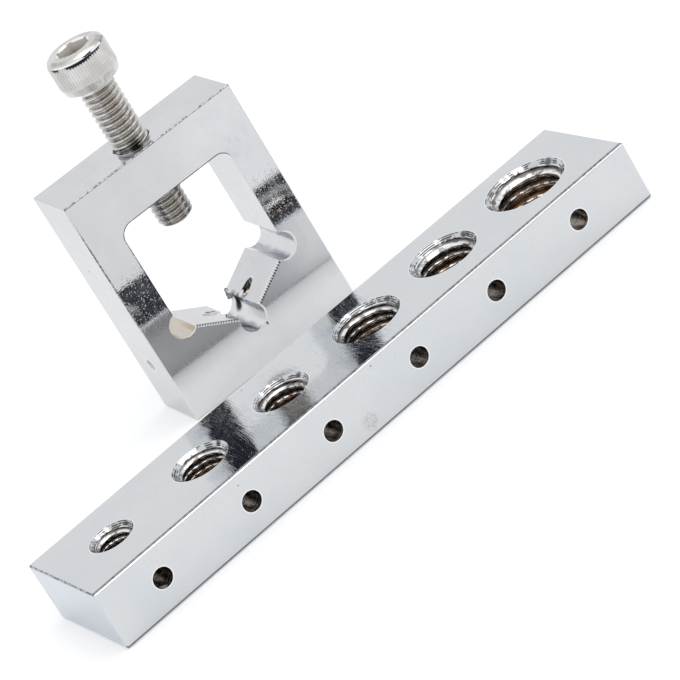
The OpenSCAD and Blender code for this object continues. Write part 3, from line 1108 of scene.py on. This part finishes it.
def seat_marks(bright, dark):
    """The row of small cutter marks along the front edge of each side of the V seat: burr beads painted
    white as their highlight, and gaps painted black as their shade.
    """
    start = RELIEF_R + 0.15
    end = (RELIEF_DX - 1.75) / math.cos(VEE_SLOPE)
    count = int((end - start) / SEAT_MARK_PITCH)
    step = (end - start) / count
    sides = ((1, "right", (-0.14, 0.20), (-0.44, -0.04)), (-1, "left", (-0.28, -0.02), (-0.03, 0.16)))
    for side, name, (bead_low, bead_high), (gap_low, gap_high) in sides:
        eave, floor = bead_high - 0.06, gap_low + 0.08
        bead = ((-1.0, bead_low), (1.0, bead_low), (1.0, eave), (0.0, bead_high), (-1.0, eave))
        gap = ((-1.0, gap_high), (-0.8, floor), (0.0, gap_low), (0.8, floor), (1.0, gap_high))
        burrs, gaps = bmesh.new(), bmesh.new()
        for k in range(count):
            middle = start + (k + 0.25) * step
            wide = step * (0.28 + 0.03 * math.sin(5.1 * k))
            prism(burrs, [seat_point(side, middle + wide * share, off) for share, off in bead], -0.050, 0.32)
            middle += step / 2
            wide = step * 0.36
            prism(gaps, [seat_point(side, middle + wide * share, off) for share, off in gap], -0.035, 0.10)
        ride_block(f"seat_edge_burrs_{name}", burrs, bright)
        ride_block(f"seat_edge_gaps_{name}", gaps, dark)


def edge_burr(bm, centre, from_angle, to_angle, width):
    """A thin raised lip round part of a notch's front edge; angles in degrees in the front view."""
    steps = max(round(abs(to_angle - from_angle) / 4.0), 2)
    sections = []
    for k in range(steps + 1):
        t = k / steps
        angle = math.radians(from_angle + (to_angle - from_angle) * t)
        wide = width * (0.35 + 0.65 * math.sin(math.pi * t) ** 0.6) * (1.0 + 0.15 * math.sin(9.0 * k))
        corners = ((0.01, 0.05), (-0.02, -0.02), (wide * 0.4, -0.05), (wide, 0.02))
        section = []
        for out, y in corners:
            x = centre[0] + (RELIEF_R + out) * math.cos(angle)
            z = centre[1] + (RELIEF_R + out) * math.sin(angle)
            section.append(block_point(bm, x, y, z))
        sections.append(section)
    join_rings(bm, sections, False)
    bm.faces.new(sections[0])
    bm.faces.new(list(reversed(sections[-1])))


def notch_burrs(bright, dark):
    """Lips on the front edges of the notches painted white as their highlight, dark nicks painted black as
    their shade, and the lip of the apex notch's back, painted white as well.
    """
    bm = bmesh.new()
    edge_burr(bm, (SCREW_X, VEE_Z), 26.0, -96.0, 0.46)
    edge_burr(bm, (SCREW_X + RELIEF_DX, RELIEF_Z), 54.0, -114.0, 0.44)
    edge_burr(bm, (SCREW_X - RELIEF_DX, RELIEF_Z), -22.0, -100.0, 0.26)
    ride_block("notch_edge_burrs", bm, bright)
    bm = bmesh.new()
    nick = ((17.42, 5.78), (17.60, 5.92), (17.72, 5.60), (17.55, 5.20), (17.44, 5.36))
    prism(bm, nick, -0.03, 0.05)
    rag = ((18.34, 9.26), (18.04, 9.34), (17.84, 9.02), (17.84, 8.60), (17.70, 8.22), (17.74, 7.86))
    rag += ((17.62, 7.56), (17.86, 7.42), (18.25, 7.40), (18.40, 8.20))
    prism(bm, rag, BLOCK_DEPTH - 0.12, BLOCK_DEPTH + 0.04)
    ride_block("notch_edge_nicks", bm, dark)
    bm = bmesh.new()
    lip = ((18.30, 9.18), (18.06, 9.24), (17.91, 8.98), (17.91, 8.58), (17.78, 8.20), (17.82, 7.84))
    lip += ((17.74, 7.60), (18.20, 7.50), (18.35, 8.20))
    prism(bm, lip, BLOCK_DEPTH - 0.20, BLOCK_DEPTH - 0.10)
    ride_block("notch_back_lip", bm, bright)


def slot_burr(bright):
    """The rolled lip where the guide hole breaks out of the V's right face, by the apex notch, painted white
    as its highlight.
    """
    bm = bmesh.new()
    count, steps = 20, 8
    rings = []
    for step in range(steps + 1):
        t = step / steps
        swell = math.sin(math.pi * min(max(t, 0.03), 0.97)) ** 0.6
        points = []
        for k in range(count):
            angle = 2.0 * math.pi * k / count
            wide = swell * (1.0 + 0.20 * math.sin(2.0 * angle + 5.0 * t))
            along = 2.24 + 1.15 * t + 0.06 * math.sin(3.0 * angle)
            x, z = seat_point(1, along, 0.04 + 0.20 * wide * math.sin(angle))
            points.append(block_point(bm, x, 6.50 + 0.60 * wide * math.cos(angle), z))
        rings.append(points)
    join_rings(bm, rings, False)
    bm.faces.new(list(reversed(rings[0])))
    bm.faces.new(rings[-1])
    ride_block("guide_slot_burr", bm, bright)


def screw_hole_shade_ring(dark):
    """A dark ring of painted shade in the gap between the clamp screw and the bevelled mouth of its hole."""
    bm = new_skin()
    centre = on_block(SCREW_X, BLOCK_DEPTH / 2, 0.0)
    count = 96
    swell = [0.09 + 0.08 * math.sin(2.0 * math.pi * (k / count + 0.50)) for k in range(count)]
    inner, outer = SCREW_HOLE_R - 0.03, SCREW_HOLE_R + 0.02
    rows = (
        (-0.30, outer - 0.01),
        (-0.12, [outer + 0.05 + s for s in swell]),
        (-0.09, [inner + s * 0.5 for s in swell]),
        (-0.30, inner),
    )
    join_rings(bm, [ring(bm, centre, count, BLOCK_HEIGHT + z, radii, 0.0) for z, radii in rows], True)
    ride_block("screw_hole_shade_ring", bm, dark)


# Studio

STUDIO_WHITE = (0.90, 0.905, 0.915, 1.0)
STUDIO_DARK = (0.028, 0.032, 0.042, 1.0)
PURE_WHITE = (1.0, 1.0, 1.0, 1.0)
# The dark gap of the tent on the camera's side: azimuth, elevation, half width and half height in degrees
DARK_GAP = (14.0, 31.4, 17.0, 13.9)
GAP_SOFTNESS = 0.012
PAPER_COOL = (0.715, 0.72, 0.725, 1.0)
PAPER_PLAIN = (0.735, 0.735, 0.735, 1.0)
FLOOR_GLOW_SEEN = 0.30
FLOOR_GLOW_MIRRORED = 0.20
# The floor lies a hair below the bench plane, so that it never cuts the piece that stands on it
FLOOR_DROP = 0.05 * MM
FLOOR_REACH = 2.0


def direction(azimuth, elevation):
    """Unit vector towards a part of the studio; azimuth 0 is -Y, the camera's side, and 90 is +X."""
    a, e = math.radians(azimuth), math.radians(elevation)
    return Vector((math.sin(a) * math.cos(e), -math.cos(a) * math.cos(e), math.sin(e)))


def make_world():
    """A white tent, with the dark gap on the camera's side."""
    world = bpy.data.worlds.new("white_tent")
    bpy.context.scene.world = world
    world.use_nodes = True
    world.node_tree.nodes.clear()
    w = Wiring(world.node_tree)
    around = w.vector("NORMALIZE", w.put("ShaderNodeTexCoord").outputs["Generated"])
    azimuth, elevation, *halves = DARK_GAP
    centre = direction(azimuth, elevation)
    side = Vector((0.0, 0.0, 1.0)).cross(centre).normalized()
    reach = [math.tan(math.radians(half)) for half in halves]
    card = w.effect("card", around, centre, side, centre.cross(side), *reach, GAP_SOFTNESS)
    studio = w.put("ShaderNodeBackground", {"Color": w.mix(card["Mask"], STUDIO_WHITE, STUDIO_DARK)})
    white = w.put("ShaderNodeBackground", {"Color": PURE_WHITE})
    seen = w.put("ShaderNodeLightPath").outputs["Is Camera Ray"]
    both = w.put("ShaderNodeMixShader", {0: seen, 1: studio.outputs[0], 2: white.outputs[0]})
    w.put("ShaderNodeOutputWorld", {"Surface": both.outputs[0]})


def make_floor():
    """A plain white floor that keeps a soft shadow and is seen as white."""
    bm = bmesh.new()
    bmesh.ops.create_grid(bm, x_segments=4, y_segments=4, size=FLOOR_REACH)
    floor = finish_mesh("white_floor", bm, 30)
    floor.location.z = -FLOOR_DROP
    material, w, shader = new_material("white_paper")
    w.shade(shader, w.mix(w.noise(place_in_mm(w), 0.8, 3.0), PAPER_COOL, PAPER_PLAIN), 0.9)
    shader.inputs["Specular IOR Level"].default_value = 0.0
    path = w.put("ShaderNodeLightPath").outputs
    mirrored = w.maths("MAXIMUM", path["Is Glossy Ray"], path["Is Transmission Ray"])
    mirrored = w.times(mirrored, FLOOR_GLOW_MIRRORED)
    seen = w.times(path["Is Camera Ray"], FLOOR_GLOW_SEEN)
    strength = w.maths("MAXIMUM", seen, mirrored)
    glow = w.put("ShaderNodeEmission", {"Color": PURE_WHITE, "Strength": strength})
    both = w.put("ShaderNodeAddShader", {0: shader.outputs[0], 1: glow.outputs[0]})
    w.feed(w.tree.nodes["sink"].inputs["Surface"], both.outputs[0])
    floor.data.materials.append(material)


def make_softbox(name, azimuth, elevation, distance, size, watts):
    """One soft square light, facing the object."""
    data = bpy.data.lights.new(name, "AREA")
    data.shape = "SQUARE"
    data.size = size
    data.energy = watts
    lamp = bpy.data.objects.new(name, data)
    bpy.context.scene.collection.objects.link(lamp)
    toward = direction(azimuth, elevation)
    lamp.location = toward * distance
    lamp.rotation_euler = toward.to_track_quat("Z", "Y").to_euler()


def make_camera():
    """The camera at the photograph's place, rolled as the photograph is."""
    roll = math.radians(CAMERA_ROLL)
    forward = -direction(CAMERA_AZIMUTH, CAMERA_ELEVATION)
    level = direction(CAMERA_AZIMUTH + 90.0, 0.0)
    upright = level.cross(forward)
    right = level * math.cos(roll) + upright * math.sin(roll)
    up = upright * math.cos(roll) - level * math.sin(roll)
    turn = Matrix((right, up, -forward)).transposed().to_4x4()
    data = bpy.data.cameras.new("photo_camera")
    data.sensor_width = CAMERA_SENSOR
    data.lens = CAMERA_LENS
    data.clip_start = 0.01
    camera = bpy.data.objects.new("photo_camera", data)
    bpy.context.scene.collection.objects.link(camera)
    camera.matrix_world = Matrix.Translation(Vector(CAMERA_PLACE) * MM) @ turn
    bpy.context.scene.camera = camera


def dress(node, material):
    """Gives a CAD node's object a better material."""
    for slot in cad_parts[node].material_slots:
        slot.material = material


def main():
    """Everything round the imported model."""
    bpy.context.scene.view_settings.view_transform = "Standard"
    make_camera()
    make_world()
    make_floor()
    make_softbox("overhead_softbox", 35.0, 72.0, 0.9, 0.84, 2.8)
    dress("drill_bar", bar_material())
    dress("clamp_block", block_material())
    make_threads()
    make_screw()
    # Painted highlight for the burrs
    bright = clouded("burr_painted_highlight", PAINTED_HIGHLIGHT_WHITE, BURR_HIGHLIGHT_WHITE, 0.40, 0.15)
    # Painted shade for gaps, nicks and the screw's hole
    dark = clouded("dark_painted_shade", SHADE_AND_MARK_BLACK, PIT_DARK, 0.45, 0.0)
    seat_marks(bright, dark)
    notch_burrs(bright, dark)
    slot_burr(bright)
    screw_hole_shade_ring(dark)


main()
bpy.context.view_layer.update()
